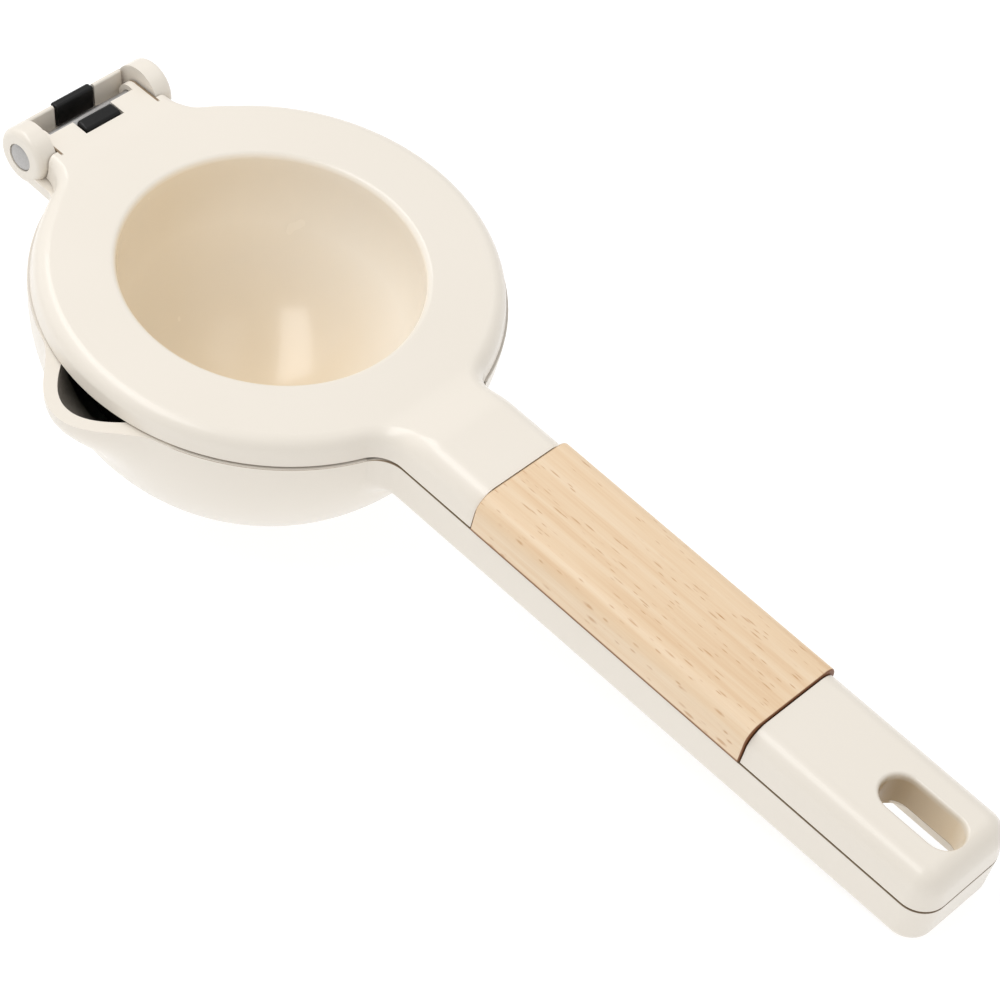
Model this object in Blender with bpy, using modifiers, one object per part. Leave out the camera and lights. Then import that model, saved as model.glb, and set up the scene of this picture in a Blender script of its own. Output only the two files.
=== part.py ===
"""Hand lemon squeezer: a hinged press arm over a cup arm with a pouring lip.

Everything is modelled in the seam frame. Its origin is the centre of the cup,
X runs along the arms to the tail, Z points up through the press, and Z = 0 is
the seam where the closed arms meet. The closed squeezer then lies on its cup
and its tail, as on a table, with the table's surface at world Z = 0.
"""
from math import asin, atan2, cos, hypot, pi, radians, sin, sqrt

import bmesh
import bpy
from mathutils import Vector

MM = 0.001

# Clearances between pieces that touch on the real squeezer
TOUCH_GAP = 0.3 * MM
SEAM_GAP = 0.3 * MM
PIN_CLEARANCE = 0.1 * MM

# Press head: a flat ring, a little inside the cup's rim, around a hollow dome
RING_INSET = 0.4 * MM
RING_TOP = 5.0 * MM
DOME_HOLLOW_RADIUS = 27.6 * MM
DOME_WALL = 2.6 * MM
DOME_LIP_RADIUS = 2.0 * MM
DOME_CENTRE_Z = 1.0 * MM

# Cup with its pouring lip on the -Y side
CUP_RADIUS = 42.9 * MM
CUP_WALL = 3.7 * MM
LIP_REACH = 7.1 * MM
LIP_WALL = 2.6 * MM
LIP_HALF_ANGLE = radians(20)
LIP_DEPTH = 17.0 * MM
LIP_CROWDING = 0.5

# Strainer bowl on a ledge inside the cup's rim
STRAINER_WALL = 1.6 * MM
STRAINER_TO_CUP = 2.0 * MM
STRAINER_RIM_THICKNESS = 1.3 * MM
STRAINER_LEDGE = 1.4 * MM
STRAINER_DROP = 0.2 * MM
DRAIN_RADIUS = 1.6 * MM
DRAIN_PITCH = 7.4 * MM
DRAIN_RINGS = 4

# Arms
ARM_HALF_WIDTH = 11.3 * MM
PRESS_ARM_TOP = 7.5 * MM
CUP_ARM_BOTTOM = -9.5 * MM
ARM_DRAFT = 0.3 * MM
SEAM_CHAMFER = 0.4 * MM
PRESS_EDGE_RADIUS = 3.4 * MM
CUP_EDGE_RADIUS = 2.4 * MM
NECK_FILLET = 6.0 * MM
NECK_RISE = 12.0 * MM
NECK_RISE_LEAD = 7.2 * MM
HANDLE_LENGTH = 122.1 * MM
TAIL_CORNER_RADIUS = 5.0 * MM
CHANNEL_WALL = 1.9 * MM
CHANNEL_ROOF = 2.4 * MM
CHANNEL_TO_CUP = 11.1 * MM

# Hanging slot through both tails
SLOT_TO_TAIL = 12.0 * MM
SLOT_LENGTH = 16.5 * MM
SLOT_WIDTH = 7.5 * MM
SLOT_RIM_RADIUS = 0.8 * MM
LOWER_SLOT_LENGTH = 18.6 * MM
LOWER_SLOT_WIDTH = 12.0 * MM

# Wooden grip over a tongue of the press arm
GRIP_LENGTH = 62.2 * MM
GRIP_TO_TAIL = 40.4 * MM
GRIP_PROUD = 0.4 * MM
GRIP_EDGE_RADIUS = 2.0 * MM
TONGUE_HALF_WIDTH = 7.5 * MM
TONGUE_THICKNESS = 3.8 * MM

# Countersunk screws that hold the grip from below
SCREW_INSET = 13.0 * MM
SCREW_SHANK_RADIUS = 1.5 * MM
SCREW_HEAD_RADIUS = 2.9 * MM
SCREW_HEAD_HEIGHT = 1.6 * MM
SCREW_LENGTH = 6.2 * MM
SCREW_RECESS = 0.2 * MM
DRIVE_LENGTH = 3.2 * MM
DRIVE_WIDTH = 0.8 * MM
DRIVE_DEPTH = 0.8 * MM

# Hinge, with two ears of the cup arm around two eyes of the press arm
PIN_TO_CUP = 6.45 * MM
PIN_Z = 1.9 * MM
PIN_RADIUS = 1.5 * MM
PIN_HEAD_RADIUS = 2.7 * MM
PIN_HEAD_THICKNESS = 1.4 * MM
PIN_HEAD_PROUD = 0.2 * MM
EAR_RADIUS = 5.5 * MM
EAR_OUTER = 16.2 * MM
EAR_THICKNESS = 4.2 * MM
EAR_EDGE_RADIUS = 1.2 * MM
EAR_FILLET = 3.0 * MM
EYE_THICKNESS = 1.8 * MM
EYE_WALL = 1.05 * MM
ROD_WINDOW = 0.8 * MM
SHOULDER_HALF_WIDTH = 14.6 * MM

# Stop pads that meet when the press arm is fully open
OPEN_ANGLE = radians(100)
BAR_FACE = 3.55 * MM
CUP_PAD_PROUD = 0.3 * MM
CUP_PAD_THICKNESS = 0.75 * MM
CUP_PAD_HALF_WIDTH = 4.5 * MM
CUP_PAD_TOP = 3.5 * MM
CUP_PAD_HOOK = 1.1 * MM
CUP_PAD_HOOK_THICKNESS = 0.9 * MM
PRESS_PAD_HALF_WIDTH = 4.2 * MM
PRESS_PAD_LENGTH = 3.0 * MM
PRESS_PAD_REAR = radians(40)
PRESS_PAD_FOOT = radians(12)
PAD_CORNER = 0.35 * MM

# Facets
ROUND_SEGMENTS = 56
BOWL_RINGS = 20
SMALL_SEGMENTS = 24
DRUM_SEGMENTS = 40
HOLE_SEGMENTS = 8
DOME_STEPS = 8
RING_STEPS = 22
FILLET_STEPS = 5
RISE_STEPS = 3
EDGE_STEPS = 4
FAR_FACE_PARTS = 3

# Levels and radii that follow from the sizes above
SEAM_UP = SEAM_GAP / 2
SEAM_DOWN = -SEAM_GAP / 2
CUT_MARGIN = 5 * MM
RING_RADIUS = CUP_RADIUS - RING_INSET
DOME_RADIUS = DOME_HOLLOW_RADIUS + DOME_WALL
CUP_HOLLOW_RADIUS = CUP_RADIUS - CUP_WALL
LIP_HOLLOW_REACH = LIP_REACH + CUP_WALL - LIP_WALL
STRAINER_RADIUS = CUP_HOLLOW_RADIUS - STRAINER_TO_CUP
REBATE_RADIUS = CUP_HOLLOW_RADIUS + STRAINER_LEDGE
STRAINER_TOP = SEAM_DOWN - STRAINER_DROP
LEDGE_Z = STRAINER_TOP - STRAINER_RIM_THICKNESS - TOUCH_GAP
TONGUE_TOP = SEAM_UP + TONGUE_THICKNESS
PIN_HOLE_RADIUS = PIN_RADIUS + PIN_CLEARANCE
EYE_RADIUS = PIN_HOLE_RADIUS + EYE_WALL
EAR_INNER = EAR_OUTER - EAR_THICKNESS
EYE_OUTER = EAR_INNER - TOUCH_GAP
EYE_INNER = EYE_OUTER - EYE_THICKNESS
BAR_HALF_WIDTH = EYE_INNER - TOUCH_GAP
PIN_HEAD_INNER = EAR_OUTER + PIN_HEAD_PROUD - PIN_HEAD_THICKNESS
PIN_X = -CUP_RADIUS - PIN_TO_CUP
TAIL_END = CUP_RADIUS + HANDLE_LENGTH
SLOT_CENTRE = TAIL_END - SLOT_TO_TAIL
GRIP_END = TAIL_END - GRIP_TO_TAIL
GRIP_START = GRIP_END - GRIP_LENGTH
CHANNEL_START = CUP_RADIUS + CHANNEL_TO_CUP
NECK_END = sqrt((RING_RADIUS + NECK_FILLET) ** 2 - (ARM_HALF_WIDTH + NECK_FILLET) ** 2)
RISE_START = NECK_END - NECK_RISE_LEAD

# Hinge heights and distances, measured from the pin
PLATE_TOP = SEAM_DOWN - PIN_Z
STOP_LEAN = OPEN_ANGLE - pi / 2
CUP_PAD_FACE = BAR_FACE - CUP_PAD_PROUD
CUP_PAD_BACK = CUP_PAD_FACE + CUP_PAD_THICKNESS
PRESS_PAD_TOP = CUP_PAD_FACE - TOUCH_GAP
PRESS_PAD_CLEAR = PIN_HOLE_RADIUS + PIN_CLEARANCE


def start_scene():
    """Empties the scene and returns the collections for parts and cutters."""
    for item in list(bpy.data.objects):
        bpy.data.objects.remove(item, do_unlink=True)
    parts = bpy.data.collections.new("lemon_squeezer")
    cutters = bpy.data.collections.new("cutters")
    for collection in (parts, cutters):
        bpy.context.scene.collection.children.link(collection)
    return parts, cutters


def make_material(name, colour, roughness, metallic=0.0):
    material = bpy.data.materials.new(name)
    material.use_nodes = True
    shader = material.node_tree.nodes["Principled BSDF"]
    shader.inputs["Base Color"].default_value = (*colour, 1.0)
    shader.inputs["Roughness"].default_value = roughness
    shader.inputs["Metallic"].default_value = metallic
    return material


def add_object(name, mesh, collection):
    item = bpy.data.objects.new(name, mesh)
    collection.objects.link(item)
    return item


def add_mesh(name, bm, collection):
    """Turns a bmesh into an object whose faces point out and whose rounds are smooth.

    Rounded coordinates keep faces that are meant to share a plane exactly in it.
    """
    for vertex in bm.verts:
        vertex.co = [round(value, 8) for value in vertex.co]
    bm.normal_update()
    bmesh.ops.recalc_face_normals(bm, faces=bm.faces)
    mesh = bpy.data.meshes.new(name)
    bm.to_mesh(mesh)
    bm.free()
    mesh.shade_smooth()
    mesh.set_sharp_from_angle(angle=radians(35))
    return add_object(name, mesh, collection)


def arc(centre, radius, start, end, steps):
    """Points on an arc, from one angle to another."""
    turns = [start + (end - start) * i / steps for i in range(steps + 1)]
    return [(centre[0] + radius * cos(t), centre[1] + radius * sin(t)) for t in turns]


def ball_arc(centre_z, radius, start, end, steps):
    """Points on an arc that is centred on the axis and ends exactly on it."""
    points = arc((0, centre_z), radius, start, end, steps)
    return [(0 if abs(x) < MM / 1000 else x, z) for x, z in points]


def turned(name, profile, segments, collection, axis="Z"):
    """A profile of (radius, height) points, top to bottom, turned about an axis."""
    mesh = bpy.data.meshes.new(name)
    edges = [(i, i + 1) for i in range(len(profile) - 1)]
    points = [(x, 0, z) if axis == "Z" else (x, z, 0) for x, z in profile]
    mesh.from_pydata(points, edges, [])
    item = add_object(name, mesh, collection)
    screw = item.modifiers.new("turn", "SCREW")
    screw.axis = axis
    screw.steps = segments
    screw.render_steps = segments
    screw.use_merge_vertices = True
    screw.merge_threshold = 0.00001
    screw.use_smooth_shade = True
    return item


def turned_across(name, profile, segments, collection):
    """A turned shape that lies across the arms, with its axis on the hinge pin."""
    item = turned(name, profile, segments, collection, "Y")
    item.location = (PIN_X, 0, PIN_Z)
    return item


def drum(name, radius, low, high, segments, collection):
    """A cylinder across the arms, around the pin's axis."""
    bm = bmesh.new()
    bmesh.ops.create_cone(
        bm, cap_ends=True, segments=segments, radius1=radius, radius2=radius, depth=high - low)
    half_facet = pi / segments
    for vertex in bm.verts:
        turn = atan2(vertex.co.y, vertex.co.x) + half_facet
        middle = (low + high) / 2
        vertex.co = (
            PIN_X + radius * cos(turn), vertex.co.z + middle, PIN_Z + radius * sin(turn))
    return add_mesh(name, bm, collection)


def prism(name, outline, low, high, plane, collection):
    """A flat outline drawn on two axes and extruded along the third."""
    curve = bpy.data.curves.new(name, "CURVE")
    curve.dimensions = "2D"
    curve.fill_mode = "BOTH"
    curve.extrude = (high - low) / 2
    spline = curve.splines.new("POLY")
    spline.points.add(len(outline) - 1)
    for point, (u, v) in zip(spline.points, outline):
        point.co = (u, v, 0, 1)
    spline.use_cyclic_u = True
    source = add_object(name + "_outline", curve, collection)
    evaluated = source.evaluated_get(bpy.context.evaluated_depsgraph_get())
    bm = bmesh.new()
    mesh = bpy.data.meshes.new_from_object(evaluated)
    bm.from_mesh(mesh)
    bpy.data.objects.remove(source, do_unlink=True)
    bpy.data.meshes.remove(mesh)
    bmesh.ops.remove_doubles(bm, verts=bm.verts, dist=MM / 1000)
    axes = {"XY": (0, 1, 2), "XZ": (0, 2, 1), "YZ": (1, 2, 0)}[plane]
    for vertex in bm.verts:
        u, v, w = vertex.co
        for axis, value in zip(axes, (u, v, w + (low + high) / 2)):
            vertex.co[axis] = value
    return add_mesh(name, bm, collection)


def skin(name, rings, side_rows, collection):
    """A solid skin over mirrored rings of equal count, closed by rungs at both ends.

    The rungs join the sides' rows, and two fans close what is left at the far side.
    """
    bm = bmesh.new()
    rows = [[bm.verts.new(point) for point in ring] for ring in rings]
    count = len(rows[0])
    for row, after in zip(rows, rows[1:]):
        for i in range(count):
            bm.faces.new((row[i - 1], row[i], after[i], after[i - 1]))
    for row in (rows[0], rows[-1]):
        for i in range(side_rows - 2):
            bm.faces.new((row[i], row[i + 1], row[count - 2 - i], row[count - 1 - i]))
        left = row[side_rows - 2:count - side_rows + 2]
        middle = len(left) // 2
        bm.faces.new((left[0], left[middle], left[-1]))
        for i in range(1, middle):
            bm.faces.new((left[0], left[i], left[i + 1]))
        for i in range(middle, len(left) - 2):
            bm.faces.new((left[-1], left[i], left[i + 1]))
    bmesh.ops.triangulate(bm, faces=bm.faces)
    return add_mesh(name, bm, collection)


def apply_tool(target, tool, operation):
    """Joins or cuts a piece with a tool that stays out of the model."""
    tool.hide_render = True
    tool.display_type = "WIRE"
    boolean = target.modifiers.new(tool.name, "BOOLEAN")
    boolean.operation = operation
    boolean.solver = "EXACT"
    boolean.object = tool


def join(target, *tools):
    for tool in tools:
        apply_tool(target, tool, "UNION")


def cut(target, *tools):
    for tool in tools:
        apply_tool(target, tool, "DIFFERENCE")


def at_pin(points):
    """Moves side-view points, measured from the pin, into the seam frame."""
    return [(PIN_X + x, PIN_Z + z) for x, z in points]


def behind_pin(distance, along):
    """Side-view point at a distance behind the pin, on a plane parallel to the stop faces."""
    x = -distance * cos(STOP_LEAN) - along * sin(STOP_LEAN)
    z = -distance * sin(STOP_LEAN) + along * cos(STOP_LEAN)
    return (x, z)


def behind_pin_at_height(distance, z):
    """The same plane's side-view point at a height over the pin."""
    return (-(distance + z * sin(STOP_LEAN)) / cos(STOP_LEAN), z)


def around_pin(radius, angle):
    return (radius * cos(angle), radius * sin(angle))


def stadium(length, width):
    """Outline of the hanging slot, with round ends."""
    reach = (length - width) / 2
    right = arc((SLOT_CENTRE + reach, 0), width / 2, -pi / 2, pi / 2, 8)
    left = arc((SLOT_CENTRE - reach, 0), width / 2, pi / 2, 3 * pi / 2, 8)
    return right + left


def bend(centre, radius, start, end, steps, outward):
    """Stations on an arc: points with the direction that faces out of the arm."""
    points = arc((0, 0), 1, start, end, steps)
    return [(centre[0] + radius * x, centre[1] + radius * y, outward * x, outward * y)
            for x, y in points]


def tail_stations():
    """Stations round the corner of the tail."""
    corner = (TAIL_END - TAIL_CORNER_RADIUS, ARM_HALF_WIDTH - TAIL_CORNER_RADIUS)
    return bend(corner, TAIL_CORNER_RADIUS, pi / 2, 0, 6, 1)


def press_stations():
    """Outline of the press arm at +Y, from the pin to the middle of the tail's end."""
    rear_y = SHOULDER_HALF_WIDTH + NECK_FILLET
    rear_x = -sqrt((RING_RADIUS + NECK_FILLET) ** 2 - rear_y ** 2)
    rear_turn = atan2(rear_y, rear_x)
    neck_y = ARM_HALF_WIDTH + NECK_FILLET
    neck_turn = atan2(neck_y, NECK_END)
    rise_left = RISE_START + NECK_RISE - NECK_END
    shoulder = bend((rear_x, rear_y), NECK_FILLET, -pi / 2, rear_turn - pi, FILLET_STEPS, -1)
    ring = bend((0, 0), RING_RADIUS, rear_turn, neck_turn, RING_STEPS, 1)
    neck = bend((NECK_END, neck_y), NECK_FILLET, neck_turn - pi, -pi / 2, FILLET_STEPS, -1)
    rise = [(NECK_END + rise_left * i / RISE_STEPS, ARM_HALF_WIDTH, 0, 1)
            for i in range(1, RISE_STEPS + 1)]
    start = [(PIN_X, SHOULDER_HALF_WIDTH, 0, 1)]
    return start + shoulder + ring[1:] + neck[1:] + rise + tail_stations()


def press_top(x):
    """Height of the press arm's upper face over the hinge, the ring and the handle."""
    pin_top = PIN_Z + EYE_RADIUS - SEAM_CHAMFER / 4
    slope_end = PRESS_EDGE_RADIUS - RING_RADIUS
    if x < slope_end:
        return pin_top + (RING_TOP - pin_top) * (x - PIN_X) / (slope_end - PIN_X)
    t = min(max((x - RISE_START) / NECK_RISE, 0), 1)
    return RING_TOP + (PRESS_ARM_TOP - RING_TOP) * t * t * (3 - 2 * t)


def side_profile(seam, far, radius):
    """Side of an arm as (inset, height, sideways, upward) from the seam to its far face.

    The last two values give the direction that the surface faces.
    """
    side = 1 if far > seam else -1
    rows = [(SEAM_CHAMFER, seam, 1, 0), (0, seam + side * SEAM_CHAMFER, 1, 0)]
    for x, z in arc((0, 0), 1, 0, pi / 2, EDGE_STEPS):
        rows.append((ARM_DRAFT + radius * (1 - x), far - side * radius * (1 - z), x, side * z))
    return rows


def station_ring(station, profile, far_parts=0):
    """Ring of points round an arm at one station of its outline."""
    x, y, out_x, out_y = station
    half = [(x - out_x * inset, y - out_y * inset, z) for inset, z, _, _ in profile]
    x, y, z = half[-1]
    half += [(x, y * i / far_parts, z) for i in reversed(range(far_parts))]
    return half + [(x, -y, z) for x, y, z in reversed(half) if y > 0]


def press_plate(parts):
    """Ring, neck, handle and hinge tab as one skin, with an edge of one radius all round."""
    widest = TAIL_CORNER_RADIUS - 2 * ARM_DRAFT
    rings = []
    for station in press_stations():
        top = press_top(station[0] - station[2] * (PRESS_EDGE_RADIUS + ARM_DRAFT))
        radius = min(PRESS_EDGE_RADIUS, widest, top - SEAM_UP - 2 * SEAM_CHAMFER)
        profile = side_profile(SEAM_UP, top, radius)
        rings.append(station_ring(station, profile))
    return skin("press_arm", rings, len(profile), parts)


def dome_tools(cutters):
    """The dome under the ring, and the hollow with its rounded lip."""
    middle = (SEAM_UP + RING_TOP) / 2
    dome = [(0, middle), (DOME_RADIUS, middle)]
    dome += ball_arc(DOME_CENTRE_Z, DOME_RADIUS, 0, -pi / 2, DOME_STEPS)
    lip = (DOME_HOLLOW_RADIUS + DOME_LIP_RADIUS, RING_TOP - DOME_LIP_RADIUS)
    hollow = [(0, RING_TOP + CUT_MARGIN), (lip[0], RING_TOP + CUT_MARGIN)]
    hollow += arc(lip, DOME_LIP_RADIUS, pi / 2, pi, 4)
    hollow += ball_arc(DOME_CENTRE_Z, DOME_HOLLOW_RADIUS, 0, -pi / 2, DOME_STEPS)
    return (turned("dome", dome, ROUND_SEGMENTS, cutters),
            turned("dome_hollow", hollow, ROUND_SEGMENTS, cutters))


def grip_window(cutters):
    """Cuts the handle away around the tongue, where the wood goes."""
    outer = ARM_HALF_WIDTH + CUT_MARGIN
    low = SEAM_UP - CUT_MARGIN
    high = PRESS_ARM_TOP + CUT_MARGIN
    tongue = TONGUE_HALF_WIDTH
    outline = [
        (outer, low), (outer, high), (-outer, high), (-outer, low),
        (-tongue, low), (-tongue, TONGUE_TOP), (tongue, TONGUE_TOP), (tongue, low),
    ]
    return prism(
        "grip_window", outline, GRIP_START - TOUCH_GAP, GRIP_END + TOUCH_GAP, "YZ", cutters)


def screw_places():
    return (GRIP_START + SCREW_INSET, GRIP_END - SCREW_INSET)


def screw_profile(gap, top, bottom):
    """Profile of a countersunk screw, or of its hole with a gap all round."""
    head = SEAM_UP + SCREW_RECESS
    return [
        (0, top),
        (SCREW_SHANK_RADIUS + gap, top),
        (SCREW_SHANK_RADIUS + gap, head + SCREW_HEAD_HEIGHT + gap / 2),
        (SCREW_HEAD_RADIUS + gap, head + gap / 2),
        (SCREW_HEAD_RADIUS + gap, bottom),
        (0, bottom),
    ]


def screw_holes(cutters):
    top = SEAM_UP + SCREW_RECESS + SCREW_LENGTH + TOUCH_GAP
    profile = screw_profile(TOUCH_GAP, top, SEAM_UP - CUT_MARGIN)
    holes = []
    for number, x in enumerate(screw_places(), 1):
        hole = turned(f"screw_hole_{number}", profile, SMALL_SEGMENTS, cutters)
        hole.location.x = x
        holes.append(hole)
    return holes


def slot_cutter(cutters):
    """The hanging slot of the press arm, flared at its upper rim."""
    levels = [(SEAM_UP - CUT_MARGIN, 0)]
    centre = PRESS_ARM_TOP - SLOT_RIM_RADIUS
    for x, z in arc((0, 0), SLOT_RIM_RADIUS, 0, pi / 2, 3):
        levels.append((centre + z, SLOT_RIM_RADIUS - x))
    levels.append((PRESS_ARM_TOP + CUT_MARGIN, SLOT_RIM_RADIUS))
    bm = bmesh.new()
    rows = []
    for z, flare in levels:
        outline = stadium(SLOT_LENGTH + 2 * flare, SLOT_WIDTH + 2 * flare)
        rows.append([bm.verts.new((x, y, z)) for x, y in outline])
    for row, after in zip(rows, rows[1:]):
        for i in range(len(row)):
            bm.faces.new((row[i - 1], row[i], after[i], after[i - 1]))
    bm.faces.new(rows[0])
    bm.faces.new(rows[-1])
    return add_mesh("hanging_slot", bm, cutters)


def press_hinge_cuts(cutters):
    """Room for the ears, the pin and its window, and the seat of the stop pad."""
    ear_room = EAR_RADIUS + TOUCH_GAP
    high = RING_TOP - PIN_Z + CUT_MARGIN
    low = -EYE_RADIUS - CUT_MARGIN
    pad_front = around_pin(PRESS_PAD_CLEAR, PRESS_PAD_REAR)[0] + PRESS_PAD_LENGTH + TOUCH_GAP
    pad_floor = around_pin(PRESS_PAD_CLEAR, PRESS_PAD_FOOT)[1] - TOUCH_GAP
    window = at_pin([
        (-CUT_MARGIN, low), (ROD_WINDOW, low), (ROD_WINDOW, high), (-CUT_MARGIN, high)])
    seat = at_pin([(0, pad_floor), (pad_front, pad_floor), (pad_front, high), (0, high)])
    seat_width = PRESS_PAD_HALF_WIDTH + TOUCH_GAP
    cuts = [
        prism("rod_window", window, -EYE_INNER, EYE_INNER, "XZ", cutters),
        prism("press_pad_seat", seat, -seat_width, seat_width, "XZ", cutters),
        drum("press_pin_hole", PIN_HOLE_RADIUS, -EAR_OUTER, EAR_OUTER, SMALL_SEGMENTS, cutters),
    ]
    for side in (-1, 1):
        near, far = sorted((side * EYE_OUTER, side * (EAR_OUTER + CUT_MARGIN)))
        cuts.append(drum(f"ear_room_{near > 0:d}", ear_room, near, far, DRUM_SEGMENTS, cutters))
    return cuts


def build_press_arm(parts, cutters, holes, coating):
    arm = press_plate(parts)
    arm.data.materials.append(coating)
    dome, hollow = dome_tools(cutters)
    eyes = drum("eyes", EYE_RADIUS, -EAR_INNER, EAR_INNER, DRUM_SEGMENTS, cutters)
    join(arm, dome, eyes)
    cut(arm, hollow, grip_window(cutters), *holes, slot_cutter(cutters))
    cut(arm, *press_hinge_cuts(cutters))
    return arm


def build_wood_grip(parts, holes, beech):
    """Saddle of wood that stands a little proud of the handle."""
    outer = ARM_HALF_WIDTH + GRIP_PROUD
    top = PRESS_ARM_TOP + GRIP_PROUD
    channel = TONGUE_HALF_WIDTH + TOUCH_GAP
    roof = TONGUE_TOP + TOUCH_GAP
    corner = (outer - ARM_DRAFT - GRIP_EDGE_RADIUS, top - GRIP_EDGE_RADIUS)
    right = [(channel, roof), (channel, SEAM_UP), (outer, SEAM_UP)]
    right += arc(corner, GRIP_EDGE_RADIUS, 0, pi / 2, EDGE_STEPS)
    left = [(-y, z) for y, z in reversed(right)]
    grip = prism("wood_grip", right + left, GRIP_START, GRIP_END, "YZ", parts)
    grip.data.materials.append(beech)
    cut(grip, *holes)
    return grip


def build_grip_screw(number, x, parts, cutters, steel):
    bottom = SEAM_UP + SCREW_RECESS
    profile = screw_profile(0, bottom + SCREW_LENGTH, bottom)
    screw = turned(f"grip_screw_{number}", profile, SMALL_SEGMENTS, parts)
    screw.data.materials.append(steel)
    screw.location.x = x
    for way, (length, width) in enumerate(
            ((DRIVE_LENGTH, DRIVE_WIDTH), (DRIVE_WIDTH, DRIVE_LENGTH))):
        sides = [(x + u * length / 2, v * width / 2) for u, v in ((-1, -1), (1, -1), (1, 1), (-1, 1))]
        drive = prism(
            f"drive_{number}_{way}", sides, bottom - CUT_MARGIN, bottom + DRIVE_DEPTH, "XY", cutters)
        cut(screw, drive)
    return screw


def build_press_stop_pad(parts, silicone):
    """Pad in the press arm's tab, clear of the pin, with its top face as the stop."""
    rear = around_pin(PRESS_PAD_CLEAR, PRESS_PAD_REAR)
    foot = around_pin(PRESS_PAD_CLEAR, PRESS_PAD_FOOT)
    front = rear[0] + PRESS_PAD_LENGTH
    outline = at_pin([
        rear, foot, (front, foot[1]),
        (front, PRESS_PAD_TOP - PAD_CORNER), (front - PAD_CORNER, PRESS_PAD_TOP),
        (rear[0] + PAD_CORNER, PRESS_PAD_TOP), (rear[0], PRESS_PAD_TOP - PAD_CORNER),
    ])
    pad = prism(
        "press_stop_pad", outline, -PRESS_PAD_HALF_WIDTH, PRESS_PAD_HALF_WIDTH, "XZ", parts)
    pad.data.materials.append(silicone)
    return pad


def lip_push(spread_x, spread_y, depth, reach):
    """How far the pouring lip pushes a point of the bowl away from its axis."""
    angle = abs(atan2(spread_x, -spread_y))
    if angle >= LIP_HALF_ANGLE or depth >= LIP_DEPTH:
        return 0.0
    across = cos(pi / 2 * angle / LIP_HALF_ANGLE) ** 2
    down = cos(pi / 2 * max(depth, 0) / LIP_DEPTH) ** 2
    return reach * across * down


def bowl(name, radius, reach, collar, collection):
    """Lower half of a ball with a pouring lip, carried up by a straight collar.

    Its meridians crowd together at the lip, which keeps the lip's curve smooth.
    """
    bm = bmesh.new()
    bmesh.ops.create_uvsphere(
        bm, u_segments=ROUND_SEGMENTS, v_segments=BOWL_RINGS, radius=radius)
    upper = [v for v in bm.verts if v.co.z > radius / 1000]
    bmesh.ops.delete(bm, geom=upper, context="VERTS")
    for vertex in bm.verts:
        spread = hypot(vertex.co.x, vertex.co.y)
        if spread < radius / 1000:
            continue
        angle = atan2(vertex.co.x, -vertex.co.y)
        angle -= LIP_CROWDING * sin(angle)
        x = sin(angle)
        y = -cos(angle)
        spread += lip_push(x, y, -vertex.co.z, reach)
        vertex.co.x = spread * x
        vertex.co.y = spread * y
    rim = [edge for edge in bm.edges if edge.is_boundary]
    if collar:
        grown = bmesh.ops.extrude_edge_only(bm, edges=rim)["geom"]
        raised = [v for v in grown if isinstance(v, bmesh.types.BMVert)]
        bmesh.ops.translate(bm, verts=raised, vec=(0, 0, collar))
        rim = [edge for edge in bm.edges if edge.is_boundary]
    bmesh.ops.holes_fill(bm, edges=rim, sides=0)
    bmesh.ops.translate(bm, verts=bm.verts, vec=(0, 0, SEAM_DOWN))
    return add_mesh(name, bm, collection)


def cup_fillet_rings(half_width, profile, fillet, toward):
    """Rings of a rolling-ball fillet between the round cup and an arm's section.

    The ball touches both, so its centre lies one fillet radius off each of them.
    The first ring lies inside the wall of the cup.
    """
    section = [(half_width - inset, z, out_y, out_z) for inset, z, out_y, out_z in profile]
    y, z, out_y, out_z = section[-1]
    parts = FAR_FACE_PARTS
    section += [(y * i / parts, z, out_y, out_z) for i in reversed(range(parts))]
    section += [(-y, z, -out_y, out_z) for y, z, out_y, out_z in reversed(section) if y > 0]
    cup = Vector((0, 0, SEAM_DOWN))
    rings = []
    for i in range(FILLET_STEPS + 1):
        ring = []
        for y, z, out_y, out_z in section:
            ball = Vector((0, y + fillet * out_y, z + fillet * out_z)) - cup
            ball.x = toward * sqrt((CUP_RADIUS + fillet) ** 2 - ball.length_squared)
            to_arm = Vector((0, -out_y, -out_z))
            touch = (-ball).normalized().slerp(to_arm, i / FILLET_STEPS)
            ring.append(cup + ball + fillet * touch)
        rings.append(ring)
    inside = 1 - CUP_WALL / (2 * CUP_RADIUS)
    return [[cup + (point - cup) * inside for point in rings[0]]] + rings


def cup_handle(cutters):
    """Handle of the cup arm, from its fillet at the cup to its rounded tail."""
    radius = min(CUP_EDGE_RADIUS, TAIL_CORNER_RADIUS - 2 * ARM_DRAFT)
    profile = side_profile(SEAM_DOWN, CUP_ARM_BOTTOM, radius)
    rings = cup_fillet_rings(ARM_HALF_WIDTH, profile, NECK_FILLET, 1)
    for station in tail_stations():
        rings.append(station_ring(station, profile, FAR_FACE_PARTS))
    return skin("cup_handle", rings, len(profile), cutters)


def handle_channel(cutters):
    """Channel that hollows the handle from below, and the slot through its roof."""
    inner = ARM_HALF_WIDTH - CHANNEL_WALL
    end = TAIL_END - CHANNEL_WALL
    tail_radius = TAIL_CORNER_RADIUS - CHANNEL_WALL
    neck_radius = inner / 2
    outline = arc((end - tail_radius, inner - tail_radius), tail_radius, 0, pi / 2, 5)
    outline += arc((CHANNEL_START + neck_radius, inner - neck_radius), neck_radius, pi / 2, pi, 5)
    outline += [(x, -y) for x, y in reversed(outline)]
    roof = SEAM_DOWN - CHANNEL_ROOF
    low = CUP_ARM_BOTTOM - CUT_MARGIN
    slot = stadium(LOWER_SLOT_LENGTH, LOWER_SLOT_WIDTH)
    return (prism("handle_channel", outline, low, roof, "XY", cutters),
            prism("lower_slot", slot, low, SEAM_DOWN + CUT_MARGIN, "XY", cutters))


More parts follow.
